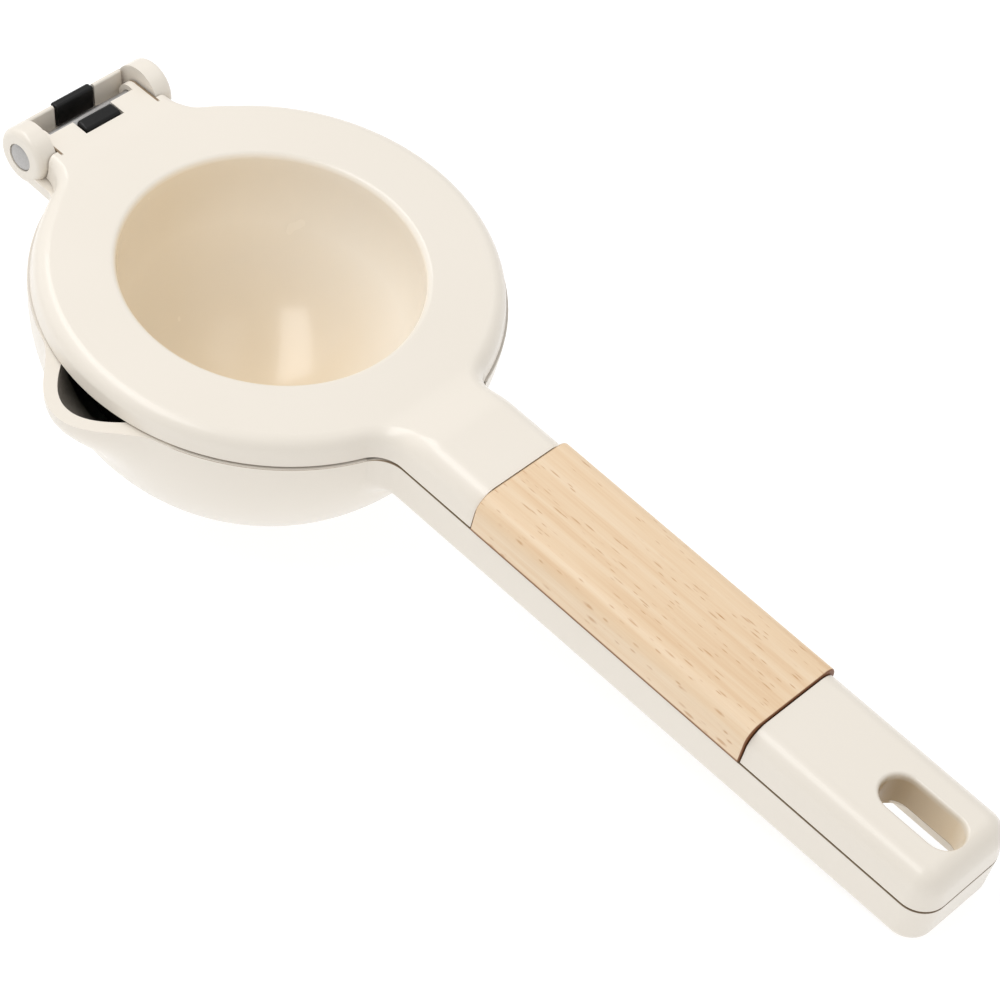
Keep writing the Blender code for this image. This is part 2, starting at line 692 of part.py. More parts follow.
def ear_block(cutters):
    """Rounded drum and plate that the ears and the bar between them are cut from."""
    edge = EAR_EDGE_RADIUS
    rim = (EAR_RADIUS - edge, EAR_OUTER - edge)
    profile = [(0, EAR_OUTER)]
    profile += arc(rim, edge, pi / 2, 0, EDGE_STEPS)
    profile += [(x, -z) for x, z in reversed(profile)]
    block = turned_across("ear_drum", profile, DRUM_SEGMENTS, cutters)
    far = PIN_Z - EAR_RADIUS
    profile = side_profile(SEAM_DOWN, far, min(edge, SEAM_DOWN - far - 2 * SEAM_CHAMFER))
    rings = cup_fillet_rings(EAR_OUTER, profile, EAR_FILLET, -1)
    rings.append(station_ring((PIN_X, EAR_OUTER, 0, 1), profile, FAR_FACE_PARTS))
    return block, skin("ear_plate", rings, len(profile), cutters)


def cup_hinge_cuts(cutters):
    """Room between the ears for the press arm's eyes and tab, and the pin's bore."""
    high = EAR_RADIUS + CUT_MARGIN
    front = -PIN_X - CUP_HOLLOW_RADIUS
    eye_room = EYE_RADIUS + TOUCH_GAP
    opening = at_pin([
        behind_pin_at_height(BAR_FACE, PLATE_TOP), (front, PLATE_TOP), (front, high),
        behind_pin_at_height(BAR_FACE, high)])
    slot = at_pin([(-high, PLATE_TOP), (0, PLATE_TOP), (0, high), (-high, high)])
    hook_seat = CUP_PAD_TOP - CUP_PAD_HOOK_THICKNESS - TOUCH_GAP
    seat_back = CUP_PAD_BACK + TOUCH_GAP
    seat = at_pin([
        behind_pin_at_height(seat_back, PLATE_TOP), (0, PLATE_TOP), (0, high),
        behind_pin(high, high), behind_pin(high, hook_seat), behind_pin(seat_back, hook_seat)])
    seat_width = CUP_PAD_HALF_WIDTH + TOUCH_GAP
    cuts = [
        prism("between_ears", opening, -EAR_INNER, EAR_INNER, "XZ", cutters),
        prism("cup_pad_seat", seat, -seat_width, seat_width, "XZ", cutters),
        drum("eye_room", eye_room, -EAR_INNER, EAR_INNER, DRUM_SEGMENTS, cutters),
        drum("cup_pin_hole", PIN_HOLE_RADIUS, -EAR_OUTER, EAR_OUTER, SMALL_SEGMENTS, cutters),
    ]
    for side in (-1, 1):
        low, top = sorted((side * BAR_HALF_WIDTH, side * EAR_INNER))
        cuts.append(prism(f"eye_slot_{low > 0:d}", slot, low, top, "XZ", cutters))
        low, top = sorted((side * (PIN_HEAD_INNER - TOUCH_GAP), side * (EAR_OUTER + CUT_MARGIN)))
        room = PIN_HEAD_RADIUS + PIN_CLEARANCE
        cuts.append(drum(f"pin_head_room_{low > 0:d}", room, low, top, SMALL_SEGMENTS, cutters))
    return cuts


def build_cup_arm(parts, cutters, coating):
    arm = bowl("cup_arm", CUP_RADIUS, LIP_REACH, 0, parts)
    arm.data.materials.append(coating)
    join(arm, cup_handle(cutters), *ear_block(cutters))
    rebate = [(0, CUT_MARGIN), (REBATE_RADIUS, CUT_MARGIN), (REBATE_RADIUS, LEDGE_Z), (0, LEDGE_Z)]
    cut(
        arm,
        bowl("cup_hollow", CUP_HOLLOW_RADIUS, LIP_HOLLOW_REACH, CUT_MARGIN, cutters),
        turned("strainer_rebate", rebate, ROUND_SEGMENTS, cutters),
        *handle_channel(cutters),
        *cup_hinge_cuts(cutters),
    )
    return arm


def build_hinge_pin(parts, steel):
    """Rod with a low riveted head in each ear."""
    end = EAR_OUTER + PIN_HEAD_PROUD
    edge = PIN_HEAD_PROUD
    profile = [
        (0, end),
        (PIN_HEAD_RADIUS - edge, end),
        (PIN_HEAD_RADIUS, end - edge),
        (PIN_HEAD_RADIUS, PIN_HEAD_INNER),
        (PIN_RADIUS, PIN_HEAD_INNER),
    ]
    profile += [(x, -z) for x, z in reversed(profile)]
    pin = turned_across("hinge_pin", profile, SMALL_SEGMENTS, parts)
    pin.data.materials.append(steel)
    return pin


def build_cup_stop_pad(parts, silicone):
    """Pad hooked over the bar between the ears, with its leaning face as the stop."""
    low = PLATE_TOP + TOUCH_GAP
    hook = CUP_PAD_BACK + CUP_PAD_HOOK
    under = CUP_PAD_TOP - CUP_PAD_HOOK_THICKNESS
    outline = at_pin([
        behind_pin_at_height(CUP_PAD_FACE, low),
        behind_pin(CUP_PAD_FACE, CUP_PAD_TOP - PAD_CORNER),
        behind_pin(CUP_PAD_FACE + PAD_CORNER, CUP_PAD_TOP),
        behind_pin(hook - PAD_CORNER, CUP_PAD_TOP),
        behind_pin(hook, CUP_PAD_TOP - PAD_CORNER),
        behind_pin(hook, under),
        behind_pin(CUP_PAD_BACK, under),
        behind_pin_at_height(CUP_PAD_BACK, low),
    ])
    pad = prism("cup_stop_pad", outline, -CUP_PAD_HALF_WIDTH, CUP_PAD_HALF_WIDTH, "XZ", parts)
    pad.data.materials.append(silicone)
    return pad


def drain_holes(cutters):
    """Radial holes in rings around the bottom of the strainer."""
    middle = STRAINER_RADIUS - STRAINER_WALL / 2
    bm = bmesh.new()
    for ring in range(DRAIN_RINGS):
        count = 6 * ring or 1
        for i in range(count):
            bearing = 2 * pi * (i + ring / 2) / count
            tilt = ring * DRAIN_PITCH / middle
            out = Vector((sin(tilt) * cos(bearing), sin(tilt) * sin(bearing), -cos(tilt)))
            hole = bmesh.ops.create_cone(
                bm, cap_ends=True, segments=HOLE_SEGMENTS,
                radius1=DRAIN_RADIUS, radius2=DRAIN_RADIUS, depth=4 * STRAINER_WALL)
            turn = out.to_track_quat("Z", "Y").to_matrix()
            bmesh.ops.rotate(bm, verts=hole["verts"], matrix=turn)
            centre = out * middle + Vector((0, 0, STRAINER_TOP))
            bmesh.ops.translate(bm, verts=hole["verts"], vec=centre)
    return add_mesh("drain_holes", bm, cutters)


def build_strainer(parts, cutters, nylon):
    """Perforated bowl whose rim sits on the ledge inside the cup."""
    rim = REBATE_RADIUS - TOUCH_GAP
    under = STRAINER_TOP - STRAINER_RIM_THICKNESS
    inner = ball_arc(STRAINER_TOP, STRAINER_RADIUS - STRAINER_WALL, -pi / 2, 0, DOME_STEPS)
    start = -asin(STRAINER_RIM_THICKNESS / STRAINER_RADIUS)
    outer = ball_arc(STRAINER_TOP, STRAINER_RADIUS, start, -pi / 2, DOME_STEPS)
    profile = inner + [(rim, STRAINER_TOP), (rim, under)] + outer
    strainer = turned("strainer", profile, ROUND_SEGMENTS, parts)
    strainer.data.materials.append(nylon)
    cut(strainer, drain_holes(cutters))
    return strainer


def apply_modifiers(item):
    """Gives an object the mesh that its modifiers make, in place of the modifiers."""
    solid = item.evaluated_get(bpy.context.evaluated_depsgraph_get())
    mesh = bpy.data.meshes.new_from_object(solid)
    item.modifiers.clear()
    item.data = mesh


def lying_tilt():
    """Angle at which the cup's ball and the tail's lower edge touch one table."""
    tail_x = TAIL_END - ARM_DRAFT - CUP_EDGE_RADIUS
    tail_z = CUP_ARM_BOTTOM + CUP_EDGE_RADIUS - SEAM_DOWN
    return asin((CUP_RADIUS - CUP_EDGE_RADIUS) / hypot(tail_x, tail_z)) + atan2(tail_z, tail_x)


def lay_on_table(pose, parts):
    """Rests the closed squeezer on Z = 0, with its bounds centred on the origin."""
    bpy.context.view_layer.update()
    points = [item.matrix_world @ vertex.co
              for item in parts.objects if item.type == "MESH" for vertex in item.data.vertices]
    low = [min(point[axis] for point in points) for axis in range(3)]
    high = [max(point[axis] for point in points) for axis in range(3)]
    pose.location = (-(low[0] + high[0]) / 2, -(low[1] + high[1]) / 2, -low[2])


def main():
    parts, cutters = start_scene()
    coating = make_material("cream_coating", (0.86, 0.81, 0.72), 0.38)
    beech = make_material("beech", (0.72, 0.50, 0.30), 0.55)
    steel = make_material("stainless_steel", (0.62, 0.61, 0.59), 0.28, 1.0)
    silicone = make_material("black_silicone", (0.012, 0.012, 0.013), 0.45)
    nylon = make_material("black_nylon", (0.02, 0.019, 0.018), 0.5)

    holes = screw_holes(cutters)
    press_pieces = [
        build_press_arm(parts, cutters, holes, coating),
        build_wood_grip(parts, holes, beech),
        build_press_stop_pad(parts, silicone),
    ]
    for number, x in enumerate(screw_places(), 1):
        press_pieces.append(build_grip_screw(number, x, parts, cutters, steel))
    cup_pieces = [
        build_cup_arm(parts, cutters, coating),
        build_hinge_pin(parts, steel),
        build_cup_stop_pad(parts, silicone),
        build_strainer(parts, cutters, nylon),
    ]

    for piece in press_pieces + cup_pieces:
        apply_modifiers(piece)
    for tool in list(cutters.objects):
        bpy.data.objects.remove(tool, do_unlink=True)

    pose = add_object("lying_pose", None, parts)
    pose.rotation_euler.y = lying_tilt()
    hinge_axis = add_object("hinge_axis", None, parts)
    hinge_axis.parent = pose
    hinge_axis.location = (PIN_X, 0, PIN_Z)
    for piece in press_pieces:
        piece.parent = hinge_axis
        piece.location -= hinge_axis.location
    for piece in cup_pieces:
        piece.parent = pose
    lay_on_table(pose, parts)


main()
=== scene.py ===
"""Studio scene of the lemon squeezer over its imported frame.

Pieces are drawn in the seam frame, in millimetres: the origin is the centre of the
cup, X runs along the arms to the tail, Z points up through the press, and Z = 0 is
the seam between the closed arms. The last step lays each piece where the frame has it.
"""
from math import asin, atan2, cos, hypot, pi, radians, sin, sqrt

import bmesh
import bpy
from mathutils import Matrix, Vector


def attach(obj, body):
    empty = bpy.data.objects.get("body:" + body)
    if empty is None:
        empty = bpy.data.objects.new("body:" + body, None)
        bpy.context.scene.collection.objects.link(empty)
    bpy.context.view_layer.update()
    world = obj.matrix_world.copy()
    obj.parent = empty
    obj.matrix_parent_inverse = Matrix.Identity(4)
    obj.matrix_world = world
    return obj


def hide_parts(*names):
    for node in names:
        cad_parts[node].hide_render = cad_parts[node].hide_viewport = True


MM = 0.001

# Pose of the closed squeezer, which lies on its cup and its tail
TILT = 0.2091713
SEAM_CENTRE = (-0.054303, 0.00355, 0.0430064)
SEAM_FRAME = Matrix.Translation(SEAM_CENTRE) @ Matrix.Rotation(TILT, 4, "Y")
DRAWN = SEAM_FRAME @ Matrix.Scale(MM, 4)

# Making of the shapes: points that are merged, angle of a sharp edge, gap between
# pieces, and how far a cutting shape runs past the surface that it cuts
MERGE = 0.001
CREASE = radians(35)
GAP = 0.3
OVERRUN = 5.0

# Seam, ring, dome and cup, in millimetres. The crowding draws the bowl's points
# towards the middle of the lip.
SEAM_UP = 0.15
SEAM_DOWN = -0.15
RING_RADIUS = 42.5
RING_TOP = 5.0
DOME_RADIUS = 30.2
HOLLOW_RADIUS = 27.6
HOLLOW_LIP = 1.2
DOME_CENTRE_Z = 1.0
CUP_RADIUS = 42.9
CUP_HOLLOW_RADIUS = 39.2
LIP_REACH = 7.1
LIP_HOLLOW_REACH = 8.2
LIP_HALF_ANGLE = radians(20)
LIP_DEPTH = 17.0
LIP_CROWDING = 0.5
BOWL_SEGMENTS = (176, 80)
LEDGE_RADIUS = 40.6
LEDGE_Z = -1.95

# Strainer
STRAINER_TOP = -0.35
STRAINER_RADIUS = 37.2
STRAINER_WALL = 1.6
STRAINER_RIM = 1.3
DRAIN_RADIUS = 1.6
DRAIN_LENGTH = 6.0
DRAIN_PITCH = 7.4
DRAIN_RINGS = 4

# Arms. The relief and the flare shape the groove along the seam, and the root is the
# share of the cup's radius where a handle starts inside the wall.
ARM_HALF_WIDTH = 11.3
RING_EDGE = 3.2
ARM_TOP = 7.5
ARM_BOTTOM = -9.5
ARM_DRAFT = 0.3
SEAM_RELIEF = 0.6
SEAM_FLARE = 0.13
HANDLE_EDGE = 4.2
TAB_EDGE = 1.4
TAB_LENGTH = 14.0
CUP_EDGE = 2.4
NECK_FILLET = 6.0
FILLET_ROOT = 0.957
RISE_START = 38.1
RISE_LENGTH = 12.0
SHOULDER_HALF_WIDTH = 14.6
TAIL_END = 165.0
TAIL_CORNER = 5.0
CHANNEL_WALL = 1.9
CHANNEL_ROOF = -2.55
CHANNEL_START = 54.0
SLOT_CENTRE = 153.0
SLOT_SIZE = (16.5, 7.5)
SLOT_RIM = 0.8
LOWER_SLOT_SIZE = (18.6, 12.0)

# Wooden grip and its screws
GRIP_ENDS = (62.4, 124.6)
GRIP_HALF_WIDTH = 11.7
GRIP_TOP = 7.9
GRIP_EDGE = 3.2
TONGUE_HALF_WIDTH = 7.5
TONGUE_TOP = 3.95
WOOD_BEVEL = 0.25
SCREW_PLACES = (75.4, 111.6)
SCREW_PROFILE = [(0, 6.55), (1.5, 6.55), (1.5, 1.95), (2.9, 0.35), (0, 0.35)]
SCREW_HOLE_PROFILE = [(0, 6.9), (1.8, 6.9), (1.8, 2.1), (3.2, 0.5)]
CROSS_SIZE = (3.2, 0.8)
CROSS_FLOOR = 1.15

# Hinge. The rod window is given along the arms and upwards from the pin.
PIN = Vector((-49.35, 0, 1.9))
PIN_RADIUS = 1.5
PIN_HEAD_RADIUS = 2.7
PIN_HEAD_INNER = 15.0
PIN_HEAD_DOME = [
    (0, 16.5), (1.1, 16.43), (1.9, 16.28), (2.4, 16.12), (PIN_HEAD_RADIUS, 15.95)]
PIN_HEAD_GAP = 0.05
PIN_HOLE_RADIUS = 1.6
EAR_RADIUS = 5.5
EAR_INNER = 12.0
EAR_OUTER = 16.2
EAR_EDGE = 1.2
EAR_FILLET = 3.0
EYE_RADIUS = 2.65
EYE_OUTER = 11.7
EYE_INNER = 9.9
EYE_RISE = 0.02
ROD_WINDOW = ((-5, 0.8), (-8, 8))
BAR_HALF_WIDTH = 11.4
STOP_LEAN = radians(10)
BAR_FACE = 3.55
BAR_ROUNDING = 0.45
HINGE_ROOM = 10.0
HINGE_ROOM_FRONT = 10.15

# Stop pads and their seats, measured from the pin. The rear ones lie behind it, on a
# plane that leans back.
FRONT_PAD = [(1.302, 1.093), (1.663, 0.353), (4.302, 0.353), (4.302, 3.25), (1.302, 3.25)]
FRONT_PAD_HALF_WIDTH = 4.2
FRONT_PAD_BEVEL = 0.55
FRONT_SEAT = ((0, 4.6), (0.05, 8))
FRONT_SEAT_HALF_WIDTH = 4.5
REAR_PAD_FACES = (3.25, 4.0, 5.1)
REAR_PAD_LEVELS = (-1.75, 2.6, 3.5)
REAR_PAD_HALF_WIDTH = 4.5
REAR_PAD_BEVEL = 0.4
REAR_SEAT_DEPTH = 4.3
REAR_SEAT_LEVEL = 2.3
REAR_SEAT_HALF_WIDTH = 4.8


# Shapes

def only_verts(geometry):
    return [item for item in geometry if isinstance(item, bmesh.types.BMVert)]


def arc(centre, radius, start, end, steps):
    """Points on an arc, from one angle to another."""
    turns = [start + (end - start) * i / steps for i in range(steps + 1)]
    return [(centre[0] + radius * cos(t), centre[1] + radius * sin(t)) for t in turns]


def rectangle(first, second):
    """Corners of a rectangle from its limits on two axes."""
    (left, right), (low, high) = first, second
    return [(left, low), (right, low), (right, high), (left, high)]


def turned(profile, steps=144):
    """A closed shape from a profile of (radius, height) spun about the Z axis."""
    bm = bmesh.new()
    line = [bm.verts.new((x, 0, z)) for x, z in profile]
    edges = [bm.edges.new(pair) for pair in zip(line, line[1:])]
    bmesh.ops.spin(
        bm, geom=line + edges, cent=(0, 0, 0), axis=(0, 0, 1), angle=2 * pi, steps=steps,
        use_merge=True)
    bmesh.ops.remove_doubles(bm, verts=bm.verts, dist=MERGE)
    bmesh.ops.recalc_face_normals(bm, faces=bm.faces)
    return bm


def across(bm):
    """Turns a shape's Z axis along the hinge and puts it on the pin."""
    turn = Matrix.Translation(PIN) @ Matrix.Rotation(-pi / 2, 4, "X")
    bmesh.ops.transform(bm, matrix=turn, verts=bm.verts)
    return bm


def drum(radius, low, high, segments=64):
    """A cylinder across the arms, on the pin's axis."""
    bm = bmesh.new()
    bmesh.ops.create_cone(
        bm, cap_ends=True, segments=segments, radius1=radius, radius2=radius, depth=high - low)
    across(bm)
    bmesh.ops.translate(bm, verts=bm.verts, vec=(0, (low + high) / 2, 0))
    return bm


def slab(outline, low, high, plane="XY"):
    """A flat outline on two axes, extruded along the third."""
    u, v, w = {"XY": (0, 1, 2), "XZ": (0, 2, 1), "YZ": (1, 2, 0)}[plane]
    bm = bmesh.new()
    corners = []
    for point in outline:
        place = Vector()
        place[u], place[v] = point
        place[w] = low
        corners.append(bm.verts.new(place))
    face = bm.faces.new(corners)
    grown = bmesh.ops.extrude_face_region(bm, geom=[face])["geom"]
    rise = Vector()
    rise[w] = high - low
    bmesh.ops.translate(bm, verts=only_verts(grown), vec=rise)
    bmesh.ops.recalc_face_normals(bm, faces=bm.faces)
    return bm


def swept(rings, flat_end=True):
    """A closed skin that carries its first ring through all the others."""
    bm = bmesh.new()
    verts = [bm.verts.new(point) for point in rings[0]]
    edges = [bm.edges.new((verts[i - 1], verts[i])) for i in range(len(verts))]
    ends = list(edges)
    for ring in rings[1:]:
        grown = bmesh.ops.extrude_edge_only(bm, edges=edges)["geom"]
        edges = [item for item in grown if isinstance(item, bmesh.types.BMEdge)]
        moved = {tuple(vert.co): vert for vert in only_verts(grown)}
        verts = [moved[tuple(vert.co)] for vert in verts]
        for vert, point in zip(verts, ring):
            vert.co = point
    if flat_end:
        ends += edges
    else:
        bmesh.ops.remove_doubles(bm, verts=bm.verts, dist=MERGE)
    bmesh.ops.holes_fill(bm, edges=[edge for edge in ends if edge.is_valid], sides=0)
    bmesh.ops.recalc_face_normals(bm, faces=bm.faces)
    return bm


def temporary(name, bm):
    """An object of the scene from a shape."""
    mesh = bpy.data.meshes.new(name)
    bm.to_mesh(mesh)
    bm.free()
    item = bpy.data.objects.new(name, mesh)
    bpy.context.scene.collection.objects.link(item)
    return item


def combined(bm, *steps):
    """The shape with closed tools joined to it or cut out of it, in turn."""
    item = temporary("shape", bm)
    tools = []
    for operation, tool in steps:
        tools.append(temporary("tool", tool))
        change = item.modifiers.new("tool", "BOOLEAN")
        change.operation = operation
        change.object = tools[-1]
    result = bmesh.new()
    result.from_object(item, bpy.context.evaluated_depsgraph_get())
    for leftover in [item] + tools:
        bpy.data.objects.remove(leftover, do_unlink=True)
    bmesh.ops.remove_doubles(result, verts=result.verts, dist=MERGE)
    return result


def finish_piece(name, bm, body, finish, material, *nodes, edge=0.0):
    """Lays a drawn piece in the frame, on its body, in place of its CAD nodes."""
    bmesh.ops.transform(bm, matrix=DRAWN, verts=bm.verts)
    mesh = bpy.data.meshes.new(name)
    bm.to_mesh(mesh)
    bm.free()
    mesh.shade_smooth()
    mesh.set_sharp_from_angle(angle=CREASE)
    mesh.materials.append(material)
    piece = bpy.data.objects.new(name, mesh)
    bpy.context.scene.collection.objects.link(piece)
    if edge:
        bevel = piece.modifiers.new("edge", "BEVEL")
        bevel.width = edge * MM
        bevel.segments = 2
        bevel.limit_method = "ANGLE"
        bevel.angle_limit = CREASE
        bevel.use_clamp_overlap = False
    weighted = piece.modifiers.new("normals", "WEIGHTED_NORMAL")
    weighted.keep_sharp = True
    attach(piece, body)
    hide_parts(*nodes)


# Arms

def bend(centre, radius, start, end, steps, outward=1):
    """Stations on an arc: points with the direction that faces out of the arm."""
    return [(centre[0] + radius * x, centre[1] + radius * y, outward * x, outward * y)
            for x, y in arc((0, 0), 1, start, end, steps)]


def tail_stations():
    """Stations round the corner of the tail to the middle of its end."""
    corner = (TAIL_END - TAIL_CORNER, ARM_HALF_WIDTH - TAIL_CORNER)
    return bend(corner, TAIL_CORNER, pi / 2, 0, steps=14) + [(TAIL_END, 0, 1, 0)]


def side_profile(seam, far, radius, steps=10):
    """Side of an arm as (inset, height, sideways, upward), from the seam to its far face."""
    side = 1 if far > seam else -1
    rows = [(SEAM_RELIEF, seam, 1, 0), (0, seam + side * SEAM_FLARE, 1, 0)]
    for x, z in arc((0, 0), 1, 0, pi / 2, steps):
        rows.append((ARM_DRAFT + radius * (1 - x), far - side * radius * (1 - z), x, side * z))
    return rows


def station_ring(station, profile):
    """Ring of points round an arm at one station of its outline."""
    x, y, out_x, out_y = station
    half = [(x - out_x * inset, y - out_y * inset, z) for inset, z, _, _ in profile]
    return half + [(x, -y, z) for x, y, z in reversed(half)]


# Press arm

def press_stations():
    """Outline of the press arm at +Y, from the pin to the middle of the tail's end."""
    rear_y = SHOULDER_HALF_WIDTH + NECK_FILLET
    rear_x = -sqrt((RING_RADIUS + NECK_FILLET) ** 2 - rear_y ** 2)
    rear_turn = atan2(rear_y, rear_x)
    neck_y = ARM_HALF_WIDTH + NECK_FILLET
    neck_x = sqrt((RING_RADIUS + NECK_FILLET) ** 2 - neck_y ** 2)
    neck_turn = atan2(neck_y, neck_x)
    rise_left = RISE_START + RISE_LENGTH - neck_x
    stations = [(PIN.x, SHOULDER_HALF_WIDTH, 0, 1)]
    stations += bend((rear_x, rear_y), NECK_FILLET, -pi / 2, rear_turn - pi,
                     steps=12, outward=-1)
    stations += bend((0, 0), RING_RADIUS, rear_turn, neck_turn, steps=84)[1:]
    stations += bend((neck_x, neck_y), NECK_FILLET, neck_turn - pi, -pi / 2,
                     steps=16, outward=-1)[1:]
    rise_steps = 8
    stations += [(neck_x + rise_left * i / rise_steps, ARM_HALF_WIDTH, 0, 1)
                 for i in range(1, rise_steps + 1)]
    return stations + tail_stations()


def press_top(x):
    """Height of the press arm's upper face over the hinge, the ring and the handle."""
    hinge_top = PIN.z + EYE_RADIUS - EYE_RISE
    slope_end = RING_EDGE - RING_RADIUS
    if x < slope_end:
        return hinge_top + (RING_TOP - hinge_top) * (x - PIN.x) / (slope_end - PIN.x)
    t = min(max((x - RISE_START) / RISE_LENGTH, 0), 1)
    return RING_TOP + (ARM_TOP - RING_TOP) * t * t * (3 - 2 * t)


def press_plate():
    """Ring, neck, handle and hinge tab, with an edge that widens at the handle."""
    rings = []
    for station in press_stations():
        top = press_top(station[0] - station[2] * (RING_EDGE + ARM_DRAFT))
        rise = max(top - RING_TOP, 0) / (ARM_TOP - RING_TOP)
        radius = RING_EDGE + rise * (HANDLE_EDGE - RING_EDGE)
        near_hinge = min(max((station[0] - PIN.x) / TAB_LENGTH, 0), 1)
        radius = TAB_EDGE + near_hinge ** 2 * (radius - TAB_EDGE)
        rings.append(station_ring(station, side_profile(SEAM_UP, top, radius)))
    return swept(rings, flat_end=False)


def dome():
    """The half ball under the ring, closed inside the ring's thickness."""
    middle = (SEAM_UP + RING_TOP) / 2
    profile = [(0, middle), (DOME_RADIUS, middle)]
    profile += arc((0, DOME_CENTRE_Z), DOME_RADIUS, 0, -pi / 2, steps=36)
    profile[-1] = (0, profile[-1][1])
    return turned(profile)


def dome_hollow():
    """The hollow of the dome, with a small round at its lip."""
    lip = (HOLLOW_RADIUS + HOLLOW_LIP, RING_TOP - HOLLOW_LIP)
    profile = [(0, RING_TOP + OVERRUN), (lip[0], RING_TOP + OVERRUN)]
    profile += arc(lip, HOLLOW_LIP, pi / 2, pi, steps=8)
    profile += arc((0, DOME_CENTRE_Z), HOLLOW_RADIUS, 0, -pi / 2, steps=36)
    profile[-1] = (0, profile[-1][1])
    return turned(profile)


def stadium(length, width, steps=16):
    """Outline of the hanging slot, with round ends."""
    reach = (length - width) / 2
    right = arc((SLOT_CENTRE + reach, 0), width / 2, -pi / 2, pi / 2, steps)
    left = arc((SLOT_CENTRE - reach, 0), width / 2, pi / 2, 3 * pi / 2, steps)
    return right + left


def hanging_slot():
    """The slot in the press arm, which flares at its rim."""
    length, width = SLOT_SIZE
    levels = [(SEAM_UP - OVERRUN, 0)]
    levels += [(ARM_TOP - SLOT_RIM + z, SLOT_RIM - x)
               for x, z in arc((0, 0), SLOT_RIM, 0, pi / 2, steps=5)]
    levels.append((ARM_TOP + OVERRUN, SLOT_RIM))
    return swept([[(x, y, z) for x, y in stadium(length + 2 * flare, width + 2 * flare)]
                  for z, flare in levels])


def grip_window():
    """The space around the tongue that the wood fills."""
    outer = ARM_HALF_WIDTH + OVERRUN
    top = ARM_TOP + OVERRUN
    tongue = TONGUE_HALF_WIDTH
    outline = [
        (outer, -OVERRUN), (outer, top), (-outer, top), (-outer, -OVERRUN),
        (-tongue, -OVERRUN), (-tongue, TONGUE_TOP), (tongue, TONGUE_TOP), (tongue, -OVERRUN),
    ]
    return slab(outline, GRIP_ENDS[0] - GAP, GRIP_ENDS[1] + GAP, "YZ")


def screw_hole(x):
    """Hole for a screw from below, open under its countersunk head."""
    head_radius = SCREW_HOLE_PROFILE[-1][0]
    bm = turned(SCREW_HOLE_PROFILE + [(head_radius, -OVERRUN), (0, -OVERRUN)], steps=48)
    bmesh.ops.translate(bm, verts=bm.verts, vec=(x, 0, 0))
    return bm


def on_pin(points):
    """Points of an outline that is measured from the pin."""
    return [(PIN.x + x, PIN.z + z) for x, z in points]


def build_press_arm(coating):
    """Ring, dome, handle and eyes, with room for the wood, the rod and the ears."""
    window = on_pin(rectangle(*ROD_WINDOW))
    seat = on_pin(rectangle(*FRONT_SEAT))
    past_eyes, past_ears = 20, 25
    cuts = [dome_hollow(), grip_window(), hanging_slot()]
    cuts += [screw_hole(x) for x in SCREW_PLACES]
    cuts += [slab(window, -EYE_INNER, EYE_INNER, "XZ"),
             slab(seat, -FRONT_SEAT_HALF_WIDTH, FRONT_SEAT_HALF_WIDTH, "XZ"),
             drum(PIN_HOLE_RADIUS, -past_eyes, past_eyes, segments=48),
             drum(EAR_RADIUS + GAP, EYE_OUTER, past_ears, segments=96),
             drum(EAR_RADIUS + GAP, -past_ears, -EYE_OUTER, segments=96)]
    steps = [("UNION", dome()), ("UNION", drum(EYE_RADIUS, -EAR_INNER, EAR_INNER))]
    bm = combined(press_plate(), *steps, *[("DIFFERENCE", tool) for tool in cuts])
    finish_piece("press_casting", bm, "press_body", "cream_coating", coating, "press_arm")


def build_wood_grip(beech):
    """Saddle of wood with softly rounded upper edges."""
    channel = TONGUE_HALF_WIDTH + GAP
    corner = (GRIP_HALF_WIDTH - ARM_DRAFT - GRIP_EDGE, GRIP_TOP - GRIP_EDGE)
    half = [(channel, TONGUE_TOP + GAP), (channel, SEAM_UP), (GRIP_HALF_WIDTH, SEAM_UP)]
    half += arc(corner, GRIP_EDGE, 0, pi / 2, steps=10)
    outline = half + [(-y, z) for y, z in reversed(half)]
    bm = slab(outline, *GRIP_ENDS, "YZ")
    finish_piece("beech_saddle", bm, "press_body", "beech", beech, "wood_grip",
                 edge=WOOD_BEVEL)


# Cup arm

def lip_push(angle, depth, reach):
    """How far the pouring lip pushes a point of the bowl away from its axis."""
    if abs(angle) >= LIP_HALF_ANGLE or depth >= LIP_DEPTH:
        return 0.0
    side = cos(pi / 2 * angle / LIP_HALF_ANGLE) ** 2
    down = cos(pi / 2 * max(depth, 0) / LIP_DEPTH) ** 2
    return reach * side * down


def bowl(radius, reach, collar):
    """Lower half of a ball with a pouring lip, carried up by a straight collar."""
    bm = bmesh.new()
    around, down = BOWL_SEGMENTS
    bmesh.ops.create_uvsphere(bm, u_segments=around, v_segments=down, radius=radius)
    near_zero = 0.01
    upper = [vert for vert in bm.verts if vert.co.z > near_zero]
    bmesh.ops.delete(bm, geom=upper, context="VERTS")
    for vert in bm.verts:
        spread = hypot(vert.co.x, vert.co.y)
        if spread < near_zero:
            continue
        angle = atan2(vert.co.x, -vert.co.y)
        angle -= LIP_CROWDING * sin(angle)
        spread += lip_push(angle, -vert.co.z, reach)
        vert.co.x = spread * sin(angle)
        vert.co.y = -spread * cos(angle)
    rim = [edge for edge in bm.edges if edge.is_boundary]
    if collar:
        grown = bmesh.ops.extrude_edge_only(bm, edges=rim)["geom"]
        bmesh.ops.translate(bm, verts=only_verts(grown), vec=(0, 0, collar))
        rim = [edge for edge in bm.edges if edge.is_boundary]
    bmesh.ops.holes_fill(bm, edges=rim, sides=0)
    bmesh.ops.translate(bm, verts=bm.verts, vec=(0, 0, SEAM_DOWN))
    bmesh.ops.recalc_face_normals(bm, faces=bm.faces)
    return bm


